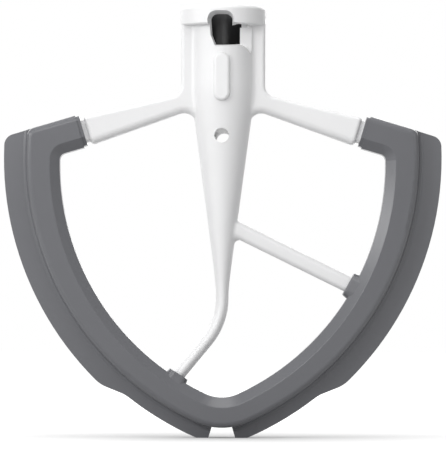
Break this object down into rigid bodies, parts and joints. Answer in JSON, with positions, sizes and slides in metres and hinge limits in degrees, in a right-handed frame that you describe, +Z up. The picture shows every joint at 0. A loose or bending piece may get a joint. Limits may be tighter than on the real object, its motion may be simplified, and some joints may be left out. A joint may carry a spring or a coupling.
{
  "type": "stand mixer flat beater",
  "caption": "Flat mixing beater with a bayonet drive socket, tapered stem, curved tail, cross bar and a soft finned scraper edge around its leaf-shaped rim.",
  "frame": {"origin": "on the axis of the drive socket, at its mouth on top of the hub", "axes": "+Z up along the drive shaft, out of the socket; the beater hangs below in the XZ plane; -Y is the front, the side of the bayonet window; the cross bar is on the +X side"},
  "size_m": [0.1322, 0.0258, 0.13],
  "materials": {
    "coated_casting": "smooth satin white coating over cast metal",
    "soft_edge": "matt grey silicone"
  },
  "bodies": {
    "root": {"beater_casting": "coated_casting", "flex_edge": "soft_edge"}
  },
  "joints": []
}
